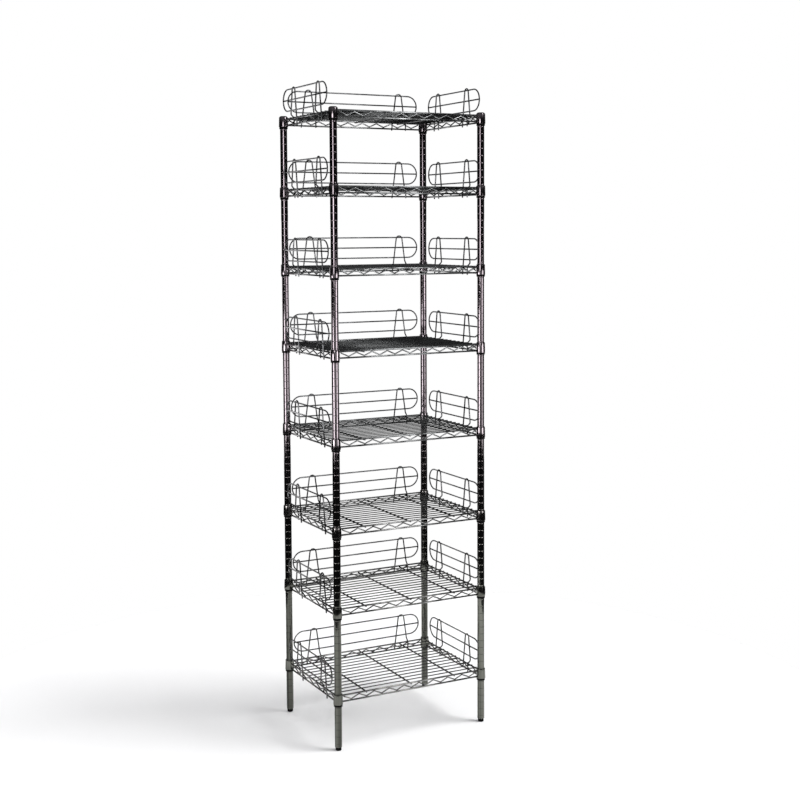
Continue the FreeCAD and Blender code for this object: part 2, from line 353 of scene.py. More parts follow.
class GeometryTree:
    """A Geometry Nodes tree built in code, whose named inputs are set before it is evaluated."""

    def __init__(self, name: str) -> None:
        """Starts a tree with one geometry in and one out.

        Args:
            name: Name of the tree.
        """
        self.group = bpy.data.node_groups.new(name, "GeometryNodeTree")
        interface = self.group.interface
        interface.new_socket("Geometry", in_out="INPUT", socket_type="NodeSocketGeometry")
        interface.new_socket("Geometry", in_out="OUTPUT", socket_type="NodeSocketGeometry")
        self.entry = self.group.nodes.new("NodeGroupInput")
        self.leave = self.group.nodes.new("NodeGroupOutput")
        self.identifiers: dict[str, str] = {}
        self.finish = self.named("Finish", SocketKind.FINISH)

    @property
    def start(self) -> Socket:
        """The geometry that goes in."""
        return self.entry.outputs["Geometry"]

    def named(self, name: str, kind: SocketKind) -> Socket:
        """Adds a named input.

        Args:
            name: The input's name.
            kind: What it holds.

        Returns:
            The socket inside the tree.
        """
        socket = self.group.interface.new_socket(name, in_out="INPUT", socket_type=kind.value)
        self.identifiers[name] = socket.identifier
        return self.entry.outputs[name]

    def add(self, kind: str, feeds: dict[str, object]) -> Socket:
        """Adds a node.

        Args:
            kind: The node's type name.
            feeds: Sockets or constants for its inputs.

        Returns:
            The new node's first output.
        """
        node = self.group.nodes.new(kind)
        for name, value in feeds.items():
            if isinstance(value, Socket):
                self.group.links.new(value, node.inputs[name])
            else:
                node.inputs[name].default_value = value
        return node.outputs[0]

    def copies(self, shape: Socket, points: Socket) -> Socket:
        """Adds copies of a shape on points."""
        return self.add("GeometryNodeInstanceOnPoints", {"Points": points, "Instance": shape})

    def close(self, geometry: Socket) -> None:
        """Ends the tree: real geometry, smooth faces, one finish.

        Args:
            geometry: What the tree has made.
        """
        real = self.add("GeometryNodeRealizeInstances", {"Geometry": geometry})
        smooth = self.add("GeometryNodeSetShadeSmooth", {"Geometry": real})
        dressed = self.add("GeometryNodeSetMaterial", {"Geometry": smooth, "Material": self.finish})
        self.group.links.new(dressed, self.leave.inputs["Geometry"])

    def bake(self, name: str, mesh: bpy.types.Mesh, sizes: dict[str, object]) -> bpy.types.Mesh:
        """Runs the tree on a mesh.

        Args:
            name: Name of the result.
            mesh: The geometry that goes in.
            sizes: Values of the named inputs.

        Returns:
            A plain mesh with no modifier.
        """
        holder = bpy.data.objects.new(name, mesh)
        bpy.context.scene.collection.objects.link(holder)
        modifier = holder.modifiers.new(name, "NODES")
        modifier.node_group = self.group
        for key, value in sizes.items():
            modifier[self.identifiers[key]] = value
        graph = bpy.context.evaluated_depsgraph_get()
        baked = bpy.data.meshes.new_from_object(holder.evaluated_get(graph), depsgraph=graph)
        holder.modifiers.remove(modifier)
        bpy.data.objects.remove(holder)
        baked.name = name
        return baked


class WireTree(GeometryTree):
    """Round wire swept along every line of a net; each point holds its own wire radius."""

    def __init__(self) -> None:
        """Builds the tree."""
        super().__init__("swept_wire")
        sides = self.named("Sides", SocketKind.COUNT)
        line = self.add("GeometryNodeMeshToCurve", {"Mesh": self.start})
        girth = self.add("GeometryNodeInputNamedAttribute", {"Name": WIRE_RADIUS_NAME})
        ring = self.add("GeometryNodeCurvePrimitiveCircle", {"Resolution": sides, "Radius": 1.0})
        feeds = {"Curve": line, "Profile Curve": ring, "Scale": girth, "Fill Caps": True}
        self.close(self.add("GeometryNodeCurveToMesh", feeds))


class RowTree(GeometryTree):
    """Copies of one shape in a straight row, welded where they meet."""

    def __init__(self) -> None:
        """Builds the tree."""
        super().__init__("row_of_copies")
        count = self.named("Count", SocketKind.COUNT)
        first = self.named("First", SocketKind.VECTOR)
        step = self.named("Step", SocketKind.VECTOR)
        row = self.add(
            "GeometryNodeMeshLine", {"Count": count, "Start Location": first, "Offset": step}
        )
        real = self.add("GeometryNodeRealizeInstances", {"Geometry": self.copies(self.start, row)})
        self.close(self.add("GeometryNodeMergeByDistance", {"Geometry": real, "Distance": SEAM_DISTANCE}))


class CornerTree(GeometryTree):
    """Copies of one shape at the four post axes."""

    def __init__(self) -> None:
        """Builds the tree."""
        super().__init__("four_corners")
        width = self.named("Width", SocketKind.NUMBER)
        depth = self.named("Depth", SocketKind.NUMBER)
        grid = self.add(
            "GeometryNodeMeshGrid", {"Size X": width, "Size Y": depth, "Vertices X": 2, "Vertices Y": 2}
        )
        self.close(self.copies(self.start, grid))


class WeldTree(GeometryTree):
    """A small weld nugget at every point."""

    segments = 8
    rings = 5

    def __init__(self) -> None:
        """Builds the tree."""
        super().__init__("weld_nuggets")
        radius = self.named("Radius", SocketKind.NUMBER)
        nugget = self.add(
            "GeometryNodeMeshUVSphere",
            {"Segments": self.segments, "Rings": self.rings, "Radius": radius},
        )
        self.close(self.copies(nugget, self.start))


class ThreadTree(GeometryTree):
    """Helical thread ridge that climbs from the origin."""

    turn_steps = 20
    ridge_sides = 6

    def __init__(self) -> None:
        """Builds the tree."""
        super().__init__("thread_ridge")
        radius = self.named("Radius", SocketKind.NUMBER)
        height = self.named("Height", SocketKind.NUMBER)
        turns = self.named("Turns", SocketKind.NUMBER)
        ridge = self.named("Ridge", SocketKind.NUMBER)
        helix = self.add(
            "GeometryNodeCurveSpiral",
            {
                "Resolution": self.turn_steps,
                "Rotations": turns,
                "Start Radius": radius,
                "End Radius": radius,
                "Height": height,
            },
        )
        ring = self.add(
            "GeometryNodeCurvePrimitiveCircle", {"Resolution": self.ridge_sides, "Radius": ridge}
        )
        feeds = {"Curve": helix, "Profile Curve": ring, "Fill Caps": True}
        self.close(self.add("GeometryNodeCurveToMesh", feeds))


# Shapes that the sub-assemblies share


@dataclass
class Wire:
    """A round wire along a run of points."""

    points: list[Vector]
    radius: float
    closed: bool = False

    @classmethod
    def straight(cls, reach: Vector, radius: float, middle: Vector = ORIGIN) -> "Wire":
        """A straight wire that goes as far to either side of its middle as the reach says."""
        return cls([middle - reach, middle + reach], radius)

    def stations(self) -> list[tuple[Vector, float]]:
        """Points with their radii; open ends get a small rounded edge.

        Returns:
            The stations from one end to the other.
        """
        if self.closed:
            return [(point, self.radius) for point in self.points]
        inner = [(point, self.radius) for point in self.points[1:-1]]
        return self.rounded_end(0, 1) + inner + self.rounded_end(-1, -2)[::-1]

    def rounded_end(self, end: int, neighbour: int) -> list[tuple[Vector, float]]:
        """Points and radii of one rounded end, from its face inwards.

        Args:
            end: Index of the end point.
            neighbour: Index of the point next to it.

        Returns:
            The end's stations.
        """
        inwards = (self.points[neighbour] - self.points[end]).normalized() * self.radius
        return [
            (self.points[end] + inwards * along, self.radius * girth)
            for along, girth in WIRE_END_SHARES
        ]


def wire_net(name: str, wires: Sequence[Wire]) -> bpy.types.Mesh:
    """Lines for the wire tree.

    Args:
        name: Name of the mesh.
        wires: The wires of one piece.

    Returns:
        A mesh of edges with a wire radius on each point.
    """
    points: list[Vector] = []
    radii: list[float] = []
    edges: list[tuple[int, int]] = []
    for wire in wires:
        base = len(points)
        stations = wire.stations()
        points += [place for place, _ in stations]
        radii += [radius for _, radius in stations]
        edges += [(base + i, base + i + 1) for i in range(len(stations) - 1)]
        if wire.closed:
            edges.append((base + len(stations) - 1, base))
    mesh = bpy.data.meshes.new(name)
    mesh.from_pydata(points, edges, [])
    attribute = mesh.attributes.new(WIRE_RADIUS_NAME, "FLOAT", "POINT")
    attribute.data.foreach_set("value", radii)
    return mesh


def point_cloud(name: str, points: Sequence[Vector]) -> bpy.types.Mesh:
    """A mesh of loose points.

    Args:
        name: Name of the mesh.
        points: Where the points are.

    Returns:
        The mesh.
    """
    mesh = bpy.data.meshes.new(name)
    mesh.from_pydata(points, [], [])
    return mesh


def bend_corners(points: Sequence[Vector], radius: float, steps: int = 6) -> list[Vector]:
    """Rounds the inner corners of a run of points.

    Args:
        points: Corner points.
        radius: Bend radius at the wire's centre.
        steps: Facets of each bend.

    Returns:
        Points along the bent line.
    """
    run = [points[0]]
    for before, corner, after in zip(points, points[1:], points[2:]):
        into = (before - corner).normalized()
        out = (after - corner).normalized()
        half_angle = into.angle(out) / 2
        bisector = (into + out).normalized()
        centre = corner + bisector * (radius / math.sin(half_angle))
        reach = radius / math.tan(half_angle)
        first = (corner + into * reach - centre).normalized()
        last = (corner + out * reach - centre).normalized()
        run += [centre + first.slerp(last, step / steps) * radius for step in range(steps + 1)]
    return run + [points[-1]]


def arc_outline(
    centre: tuple[float, float], radius: float, start: float, end: float, steps: int = 5
) -> Outline:
    """Points of an arc in a lathe outline.

    Args:
        centre: Radius and height of the arc's centre.
        radius: The arc's own radius.
        start: First angle, from the outward direction upwards.
        end: Last angle.
        steps: Number of facets.

    Returns:
        Radius and height pairs.
    """
    angles = [start + (end - start) * step / steps for step in range(steps + 1)]
    return [(centre[0] + radius * math.cos(a), centre[1] + radius * math.sin(a)) for a in angles]


def lathe(
    name: str,
    outline: Outline,
    segments: int,
    closed: bool = True,
    start: float = 0.0,
    sweep: float = FULL_TURN,
) -> bpy.types.Mesh:
    """Turns an outline about Z; going up the outline faces outwards.

    Args:
        name: Name of the mesh.
        outline: Radius and height pairs.
        segments: Facets round the turn.
        closed: Whether the outline closes on itself.
        start: First angle.
        sweep: Angle turned through.

    Returns:
        The mesh, smooth apart from its sharp edges.
    """
    whole = math.isclose(sweep, FULL_TURN)
    columns = segments if whole else segments + 1
    shape = bmesh.new()
    rings = []
    for column in range(columns):
        angle = start + sweep * column / segments
        turn = (math.cos(angle), math.sin(angle))
        rings.append([shape.verts.new((r * turn[0], r * turn[1], z)) for r, z in outline])
    steps = len(outline) if closed else len(outline) - 1
    for column in range(segments):
        here = rings[column]
        there = rings[(column + 1) % columns]
        for i in range(steps):
            j = (i + 1) % len(outline)
            shape.faces.new((here[i], there[i], there[j], here[j]))
    if closed and not whole:
        shape.faces.new(rings[0])
        shape.faces.new(rings[-1][::-1])
    bmesh.ops.remove_doubles(shape, verts=shape.verts, dist=SEAM_DISTANCE)
    if closed:
        bmesh.ops.recalc_face_normals(shape, faces=shape.faces)
    mesh = bpy.data.meshes.new(name)
    shape.to_mesh(mesh)
    shape.free()
    mesh.shade_smooth()
    mesh.set_sharp_from_angle(angle=SHARP_ANGLE)
    return mesh


def joined(name: str, meshes: Sequence[bpy.types.Mesh]) -> bpy.types.Mesh:
    """Joins meshes of one finish and closes the seams between them.

    Args:
        name: Name of the result.
        meshes: The meshes, the first of which has the finish.

    Returns:
        One mesh.
    """
    shape = bmesh.new()
    for mesh in meshes:
        shape.from_mesh(mesh)
    bmesh.ops.remove_doubles(shape, verts=shape.verts, dist=SEAM_DISTANCE)
    mesh = bpy.data.meshes.new(name)
    shape.to_mesh(mesh)
    shape.free()
    for finish in meshes[0].materials:
        mesh.materials.append(finish)
    return mesh


def placed(mesh: bpy.types.Mesh, matrix: Matrix) -> bpy.types.Mesh:
    """A copy of a mesh with its place in its points.

    Args:
        mesh: The mesh that is copied.
        matrix: Where the copy goes.

    Returns:
        The copy.
    """
    copy = mesh.copy()
    copy.transform(matrix)
    return copy


def raised(mesh: bpy.types.Mesh, height: float) -> bpy.types.Mesh:
    """A copy of a mesh at another height."""
    return placed(mesh, Matrix.Translation((0.0, 0.0, height)))


def add_piece(
    name: str, mesh: bpy.types.Mesh, body: str, stands_for: Sequence[str] = ()
) -> None:
    """Adds a finished piece to the frame.

    Args:
        name: Name of the piece.
        mesh: Its mesh, in the row frame.
        body: The body that it rides on.
        stands_for: CAD nodes that it replaces.
    """
    piece = bpy.data.objects.new(name, mesh)
    bpy.context.scene.collection.objects.link(piece)
    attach(piece, body)
    if stands_for:
        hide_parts(*stands_for)
    LOG.info("%s: %d faces on %s", name, len(mesh.polygons), body)


def middle_of(node: str) -> Vector:
    """Middle of a CAD node's box."""
    low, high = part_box(node)
    return (low + high) / 2


@dataclass
class Layout:
    """Where the posts and shelves stand, read from the frame."""

    shelf_count: int = 8
    half_width: float = field(init=False)
    half_depth: float = field(init=False)
    post_low: float = field(init=False)
    post_high: float = field(init=False)
    post_radius: float = field(init=False)

    def __post_init__(self) -> None:
        """Reads the posts' axes and ends."""
        low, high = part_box("post_back_right")
        self.half_width = (low.x + high.x) / 2
        self.half_depth = (low.y + high.y) / 2
        self.post_low = low.z
        self.post_high = high.z
        self.post_radius = (high.x - low.x) / 2

    def axis(self, place: Place) -> Vector:
        """Foot of a post's axis on the floor."""
        middle = middle_of("post_" + place.value)
        return Vector((middle.x, middle.y, 0.0))

    def level(self, number: int) -> float:
        """Height of the lower end of a shelf's sleeves."""
        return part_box(f"sleeves_{number}")[0].z

    @property
    def spacing(self) -> dict[str, float]:
        """Spacing of the post axes, as the corner tree takes it."""
        return {"Width": 2 * self.half_width, "Depth": 2 * self.half_depth}

    @property
    def numbers(self) -> range:
        """Shelf numbers from the bottom up."""
        return range(1, self.shelf_count + 1)


@dataclass
class Trees:
    """The geometry trees, built once."""

    wire: WireTree = field(default_factory=WireTree)
    row: RowTree = field(default_factory=RowTree)
    corner: CornerTree = field(default_factory=CornerTree)
    weld: WeldTree = field(default_factory=WeldTree)
    thread: ThreadTree = field(default_factory=ThreadTree)


@dataclass
class Finishes:
    """The materials, built once."""

    post: bpy.types.Material
    wire: bpy.types.Material
    deck: bpy.types.Material
    collar: bpy.types.Material
    ledge: bpy.types.Material
    sleeve: bpy.types.Material
    cap: bpy.types.Material
    foot: bpy.types.Material
    zinc: bpy.types.Material
    floor: bpy.types.Material

    @classmethod
    def mixed(cls) -> "Finishes":
        """Mixes every finish of the unit and its floor.

        Returns:
            The finishes by their use.
        """
        drawn = {"streak": even(260.0), "smooth": 0.1, "rough": 0.24, "wave_depth": 0.00008}
        mixes = {
            # Painted reflection on the posts: the cloud is stretched into upright streaks that stand in
            # for mirrored streaks, and the height tint runs from olive low down to mauve higher up in
            # place of the colour of what the posts mirror.
            "post": PlatedFinish(
                "plated_post", even(0.05), even(0.2), cloud=(95.0, 95.0, 1.4), streak=(420.0, 420.0, 14.0),
                smooth=0.05, rough=0.12, wave_depth=0.00003,
                low_reflection_tint=(0.98, 1.0, 0.87), high_reflection_tint=(1.0, 0.87, 0.94),
            ),
            "wire": PlatedFinish("plated_wire", even(0.03), even(0.27), cloud=even(30.0), **drawn),
            # Painted shade: the deck and cross wires are the same plating as the truss wires, made darker
            # so that they mirror less of the light from above.
            "deck": PlatedFinish(
                "shaded_deck_wire", even(0.03), even(0.07), cloud=even(14.0), streak=(22.0, 520.0, 520.0),
                smooth=0.12, rough=0.28, wave_depth=0.00008,
            ),
            # Painted reflection: the collars take the same olive-to-mauve height tint as the posts.
            "collar": PlatedFinish(
                "plated_collar", even(0.08), even(0.2), cloud=(60.0, 60.0, 6.0),
                streak=(380.0, 380.0, 40.0), smooth=0.07, rough=0.18, wave_depth=0.00005,
                low_reflection_tint=(0.98, 1.0, 0.88), high_reflection_tint=(1.0, 0.89, 0.95),
            ),
            # The ledge plating's cloudy tone is partly its own and partly painted highlight: the wide
            # light-dark contrast puts bright patches along the wires that stand in for glints.
            "ledge": PlatedFinish(
                "ledge_wire_painted_glints", (0.02, 0.02, 0.021), (0.14, 0.14, 0.143), cloud=even(30.0), **drawn
            ),
            "sleeve": MouldedFinish(
                "moulded_sleeve", even(0.0015), (0.004, 0.004, 0.0042),
                grain_scale=1800.0, smooth=0.35, rough=0.55, grain_depth=0.00005,
            ),
            "cap": MouldedFinish(
                "moulded_cap", even(0.006), (0.018, 0.018, 0.019),
                grain_scale=1500.0, smooth=0.3, rough=0.5, grain_depth=0.00006,
            ),
            "foot": MouldedFinish(
                "moulded_foot", even(0.0015), (0.004, 0.004, 0.0038),
                grain_scale=1300.0, smooth=0.4, rough=0.65, grain_depth=0.00008,
            ),
            "zinc": PlatedFinish(
                "zinc_steel", (0.42, 0.42, 0.40), (0.58, 0.58, 0.55), cloud=even(60.0), streak=even(700.0),
                smooth=0.28, rough=0.45, wave_depth=0.00005,
            ),
            "floor": FloorFinish("studio_floor", even(0.9), even(0.93)),
        }
        return cls(**{use: finish.material() for use, finish in mixes.items()})


# Sub-assemblies


@dataclass
class Assembly:
    """What every sub-assembly is built from."""

    layout: Layout
    trees: Trees
    finishes: Finishes


@dataclass
class PostSet(Assembly):
    """Four grooved tubes with their caps and threaded bushes."""

    wall: float = 0.0014
    groove_pitch: float = 0.0254
    groove_width: float = 0.002
    groove_depth: float = 0.00018
    groove_border: float = 0.0006
    first_groove: float = 0.013
    edge: float = 0.0005
    edge_share: float = 0.3
    lower_edge_share: float = 0.25
    end_depth: float = 0.03
    cap_rim_step: float = 0.0003
    cap_flange: float = 0.002
    cap_edge: float = 0.0007
    cap_plug: float = 0.016
    cap_plug_gap: float = 0.0001
    cap_lead_share: float = 0.9
    crown_shares: tuple[float, ...] = (0.85, 0.6, 0.3, 0.0)
    segments: int = 32
    groove_facets: int = 8

    def section(self) -> bpy.types.Mesh:
        """One inch of tube with a rolled groove at its middle.

        Returns:
            The section's mesh, open at both ends.
        """
        radius = self.layout.post_radius
        half = self.groove_width / 2
        middle = self.groove_pitch / 2
        outline: Outline = [(radius, 0.0), (radius, middle - half - self.groove_border)]
        for step in range(self.groove_facets + 1):
            share = step / self.groove_facets
            dip = self.groove_depth * (1 - math.cos(FULL_TURN * share)) / 2
            outline.append((radius - dip, middle - half + share * self.groove_width))
        outline.append((radius, middle + half + self.groove_border))
        outline.append((radius, self.groove_pitch))
        return lathe("post_section", outline, self.segments, closed=False)

    def ends(self, low: float, high: float, length: float) -> list[bpy.types.Mesh]:
        """Plain tube below the lowest section and above the highest one.

        Args:
            low: Height where the sections start.
            high: Height where they end.
            length: Length of the tube.

        Returns:
            The two end meshes.
        """
        radius = self.layout.post_radius
        bore = radius - self.wall
        foot: Outline = [
            (bore, self.end_depth),
            (bore, 0.0),
            (radius - self.edge, 0.0),
            (radius - self.edge * self.edge_share, self.edge * self.lower_edge_share),
            (radius, low),
        ]
        head: Outline = [
            (radius, high),
            (radius, length - self.edge),
            (radius - self.edge * self.edge_share, length - self.edge * self.edge_share),
            (radius - self.edge, length),
            (bore, length),
            (bore, length - self.end_depth),
        ]
        return [
            lathe("post_foot", foot, self.segments, closed=False),
            lathe("post_head", head, self.segments, closed=False),
        ]

    def build_post(self) -> bpy.types.Mesh:
        """One tube on the Z axis, from height zero.

        Returns:
            The tube's mesh.
        """
        length = self.layout.post_high - self.layout.post_low
        low = self.first_groove - self.groove_pitch / 2
        count = int((length - low) // self.groove_pitch)
        sections = self.trees.row.bake(
            "post_sections",
            self.section(),
            {
                "Count": count,
                "First": (0.0, 0.0, low),
                "Step": (0.0, 0.0, self.groove_pitch),
                "Finish": self.finishes.post,
            },
        )
        ends = self.ends(low, low + count * self.groove_pitch, length)
        return joined("post", [sections, *ends])

    def build_cap(self) -> bpy.types.Mesh:
        """One cap whose head rests at height zero.

        Returns:
            The cap's mesh.
        """
        head = self.layout.post_radius - self.cap_rim_step
        plug = self.layout.post_radius - self.wall - self.cap_plug_gap
        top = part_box("cap_back_right")[1].z - self.layout.post_high
        rim_centre = (head - self.cap_edge, self.cap_flange - self.cap_edge)
        outline: Outline = [
            (0.0, -self.cap_plug),
            (plug * self.cap_lead_share, -self.cap_plug),
            (plug, -self.cap_plug * self.cap_lead_share),
            (plug, 0.0),
            (head, 0.0),
            *arc_outline(rim_centre, self.cap_edge, 0.0, QUARTER_TURN),
        ]
        for share in self.crown_shares:
            outline.append((head * share, self.cap_flange + (top - self.cap_flange) * (1 - share ** 2)))
        mesh = lathe("cap", outline, self.segments)
        mesh.materials.append(self.finishes.cap)
        return mesh

    def build(self) -> None:
        """Places the tubes and caps and dresses the bushes."""
        post = self.build_post()
        cap = self.build_cap()
        for place in Place:
            axis = self.layout.axis(place)
            low = Matrix.Translation(axis + Vector((0.0, 0.0, self.layout.post_low)))
            high = Matrix.Translation(axis + Vector((0.0, 0.0, self.layout.post_high)))
            tube_name = "post_" + place.value
            cap_name = "cap_" + place.value
            add_piece("tube_" + place.value, placed(post, low), "frame", [tube_name])
            add_piece("crown_" + place.value, placed(cap, high), "frame", [cap_name])
            bush_name = "insert_" + place.value
            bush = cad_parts[bush_name]
            bush.data.materials.clear()
            bush.data.materials.append(self.finishes.zinc)
            LOG.info("%s: dressed where it is on frame", bush_name)


@dataclass
class FootSet(Assembly):
    """Four levelling feet: a black pad on a threaded steel stem."""

    edge: float = 0.0026
    shoulder: float = 0.001
    gap: float = 0.0003
    core_radius: float = 0.00435
    ridge: float = 0.0004
    thread_pitch: float = 0.0015
    sole_recess: float = 0.0006
    sole_ring: float = 0.0012
    segments: int = 40
    edge_steps: int = 8

    def build_pad(self) -> bpy.types.Mesh:
        """Pad with a rounded lower edge and a shallow recess under its sole.

        Returns:
            The pad's mesh.
        """
        low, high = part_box("foot_back_right")
        radius = (high.x - low.x) / 2
        top = self.layout.post_low - self.gap
        flat = radius - self.edge
        recess = flat - self.sole_ring
        shoulder_centre = (radius - self.shoulder, top - self.shoulder)
        outline: Outline = [
            (0.0, self.sole_recess),
            (recess - self.sole_recess, self.sole_recess),
            (recess, 0.0),
            *arc_outline((flat, self.edge), self.edge, -QUARTER_TURN, 0.0, self.edge_steps),
            *arc_outline(shoulder_centre, self.shoulder, 0.0, QUARTER_TURN),
            (self.core_radius, top),
            (0.0, top),
        ]
        mesh = lathe("foot_pad", outline, self.segments)
        mesh.materials.append(self.finishes.foot)
        return mesh

    def build_stem(self) -> bpy.types.Mesh:
        """Threaded stem from the pad up into the post.

        Returns:
            The stem's mesh.
        """
        base = self.layout.post_low - self.gap - self.shoulder
        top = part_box("foot_back_right")[1].z
        lead = self.shoulder
        core: Outline = [(0.0, base), (self.core_radius, base), (self.core_radius, top - lead)]
        core += [(self.core_radius - lead, top), (0.0, top)]
        height = top - base - 2 * lead
        ridge = self.trees.thread.bake(
            "thread",
            point_cloud("thread_seed", []),
            {
                "Radius": self.core_radius,
                "Height": height,
                "Turns": height / self.thread_pitch,
                "Ridge": self.ridge,
                "Finish": self.finishes.zinc,
            },
        )
        stem = lathe("stem_core", core, self.segments)
        return joined("foot_stem", [raised(ridge, base + lead / 2), stem])

    def build(self) -> None:
        """Places the feet under the posts."""
        pad = self.build_pad()
        stem = self.build_stem()
        for place in Place:
            at = Matrix.Translation(self.layout.axis(place))
            node = "foot_" + place.value
            add_piece("pad_" + place.value, placed(pad, at), node, [node])
            add_piece("stem_" + place.value, placed(stem, at), node)


@dataclass
class SleeveSet(Assembly):
    """Black split sleeves: two tapered half shells round each post at every shelf."""

    lower_wall: float = 0.0026
    upper_wall: float = 0.0014
    edge: float = 0.0008
    split: float = 0.001
    segments: int = 24
    rim_steps: int = 3

    @property
    def height(self) -> float:
        """Height of a sleeve."""
        low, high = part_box("sleeves_1")
        return high.z - low.z

    def radius_at(self, height: float) -> float:
        """Outer radius at a height above the lower end."""
        fall = (self.lower_wall - self.upper_wall) / self.height
        return self.layout.post_radius + self.lower_wall - fall * height

    def build_shells(self) -> bpy.types.Mesh:
        """Both half shells about Z, from height zero.

        Returns:
            The shells' mesh.
        """
        height = self.height
        inner = self.layout.post_radius
        lower = self.radius_at(0.0)
        upper = self.radius_at(height)
        outline: Outline = [(inner, 0.0)]
        outline += arc_outline((lower - self.edge, self.edge), self.edge, -QUARTER_TURN, 0.0)
        rim = self.edge / 2
        outline += arc_outline((upper - rim, height - rim), rim, 0.0, QUARTER_TURN, self.rim_steps)
        outline += [(inner, height)]
        slit = math.asin(self.split / 2 / inner)
        sweep = math.pi - 2 * slit
        halves = [
            lathe("sleeve_half", outline, self.segments, start=start + slit, sweep=sweep)
            for start in (0.0, math.pi)
        ]
        return joined("sleeve_shells", halves)

    def build(self) -> None:
        """Places four sleeves at every shelf."""
        sizes = {**self.layout.spacing, "Finish": self.finishes.sleeve}
        sleeves = self.trees.corner.bake("sleeves", self.build_shells(), sizes)
        for number in self.layout.numbers:
            node = f"sleeves_{number}"
            mesh = raised(sleeves, self.layout.level(number))
            add_piece(f"split_sleeves_{number}", mesh, "frame", [node])


@dataclass
class ShelfSet(Assembly):
    """Welded wire shelves: corner collars, edge trusses, cross wires and deck wires.

    The coat is what the plating adds to the radius of the thin deck and zigzag wires.
    """

    sleeves: SleeveSet
    collar_bottom: float = 0.0075
    collar_height: float = 0.035
    collar_wall: float = 0.0016
    collar_gap: float = 0.00012
    collar_edge: float = 0.0006
    collar_weld: float = 0.0008
    frame_wire: float = 0.003
    zigzag_wire: float = 0.002
    cross_wire: float = 0.00275
    deck_wire: float = 0.0017
    coat: float = 0.00025
    long_top: float = 0.036
    long_drop: float = 0.022
    side_drop: float = 0.02
    bite: float = 0.0004
    zigzag_half_pitch: float = 0.0296
    zigzag_bend: float = 0.005
    zigzag_collar_gap: float = 0.006
    cross_offset: float = 0.177
    deck_count: int = 13
    deck_edge_gap: float = 0.0332
    deck_overhang: float = 0.002
    nugget: float = 0.0019
    cross_count: int = 3
    segments: int = 40
    edge_steps: int = 4
    frame_sides: int = 14
    deck_sides: int = 12

    @property
    def side_top(self) -> float:
        """Height of the side trusses' top wires, under the deck wires."""
        return self.long_top - self.deck_wire - self.frame_wire + self.bite

    @property
    def cross_height(self) -> float:
        """Height of the cross wires, under the deck wires."""
        return self.long_top - self.deck_wire - self.cross_wire + self.bite

    @property
    def deck_pitch(self) -> float:
        """Spacing of the deck wires."""
        return 2 * (self.layout.half_depth - self.deck_edge_gap) / (self.deck_count - 1)

    def collar_reach(self, height: float) -> float:
        """Distance from the post axis at which a wire enters the collar."""
        return self.sleeves.radius_at(height) + self.collar_gap + self.collar_wall - self.collar_weld

    def build_collars(self) -> bpy.types.Mesh:
        """Four tapered collars with softened edges.

        Returns:
            The collars' mesh.
        """
        top = self.collar_bottom + self.collar_height
        inner_low = self.sleeves.radius_at(self.collar_bottom) + self.collar_gap
        inner_high = self.sleeves.radius_at(top) + self.collar_gap
        edge = self.collar_edge
        low_rim = (inner_low + self.collar_wall - edge, self.collar_bottom + edge)
        high_rim = (inner_high + self.collar_wall - edge, top - edge)
        outline: Outline = [
            (inner_low, self.collar_bottom),
            *arc_outline(low_rim, edge, -QUARTER_TURN, 0.0, self.edge_steps),
            *arc_outline(high_rim, edge, 0.0, QUARTER_TURN, self.edge_steps),
            (inner_high, top),
        ]
        sizes = {**self.layout.spacing, "Finish": self.finishes.collar}
        return self.trees.corner.bake("collars", lathe("collar", outline, self.segments), sizes)

    def zigzag_corners(self, half_length: float, top: float, drop: float) -> list[Vector]:
        """Corner points of the zigzag wire of one truss.

        Args:
            half_length: Distance from the middle to the post axes.
            top: Height of the top wire.
            drop: Distance down to the bottom wire.

        Returns:
            Points along X, ends included.
        """
        tuck = self.frame_wire + self.zigzag_wire - self.bite
        valley = top - drop + tuck
        peak = top - tuck
        run = half_length - self.collar_reach(top) - self.zigzag_collar_gap
        steps = round(run / self.zigzag_half_pitch)
        step_run = run / steps
        return [
            Vector((step * step_run, 0.0, peak if step % 2 else valley))
            for step in range(-steps, steps + 1)
        ]

    def truss(self, half_length: float, top: float, drop: float) -> tuple[list[Wire], list[Vector]]:
        """Wires and weld points of one truss along X.

        Args:
            half_length: Distance from the middle to the post axes.
            top: Height of the top wire.
            drop: Distance down to the bottom wire.

        Returns:
            The wires, and the points where the zigzag is welded.
        """
        wires = []
        for height in (top, top - drop):
            reach = Vector((half_length - self.collar_reach(height), 0.0, 0.0))
            wires.append(Wire.straight(reach, self.frame_wire, Vector((0.0, 0.0, height))))
        corners = self.zigzag_corners(half_length, top, drop)
        wires.append(Wire(bend_corners(corners, self.zigzag_bend), self.zigzag_wire + self.coat))
        middle = top - drop / 2
        welds = []
        for corner in corners:
            contact = top - self.frame_wire if corner.z > middle else top - drop + self.frame_wire
            welds.append(Vector((corner.x, 0.0, contact)))
        return wires, welds

    def truss_places(self) -> list[tuple[Matrix, float, float, float]]:
        """Where the four trusses go.

        Returns:
            Place, half length, top height and drop of each truss.
        """
        across = Matrix.Rotation(QUARTER_TURN, 4, "Z")
        wide, deep = self.layout.half_width, self.layout.half_depth
        places = []
        for sign in (-1, 1):
            front = Matrix.Translation((0.0, sign * deep, 0.0))
            side = Matrix.Translation((sign * wide, 0.0, 0.0)) @ across
            places.append((front, wide, self.long_top, self.long_drop))
            places.append((side, deep, self.side_top, self.side_drop))
        return places

    def build_trusses(self) -> tuple[bpy.types.Mesh, list[Vector]]:
        """Edge trusses of one shelf, and where their zigzags are welded.

        Returns:
            The trusses' mesh and their weld points.
        """
        wires: list[Wire] = []
        welds: list[Vector] = []
        for matrix, half_length, top, drop in self.truss_places():
            truss_wires, truss_welds = self.truss(half_length, top, drop)
            for wire in truss_wires:
                wires.append(Wire([matrix @ point for point in wire.points], wire.radius))
            welds += [matrix @ point for point in truss_welds]
        net = wire_net("truss_lines", wires)
        sizes = {"Sides": self.frame_sides, "Finish": self.finishes.wire}
        return self.trees.wire.bake("trusses", net, sizes), welds

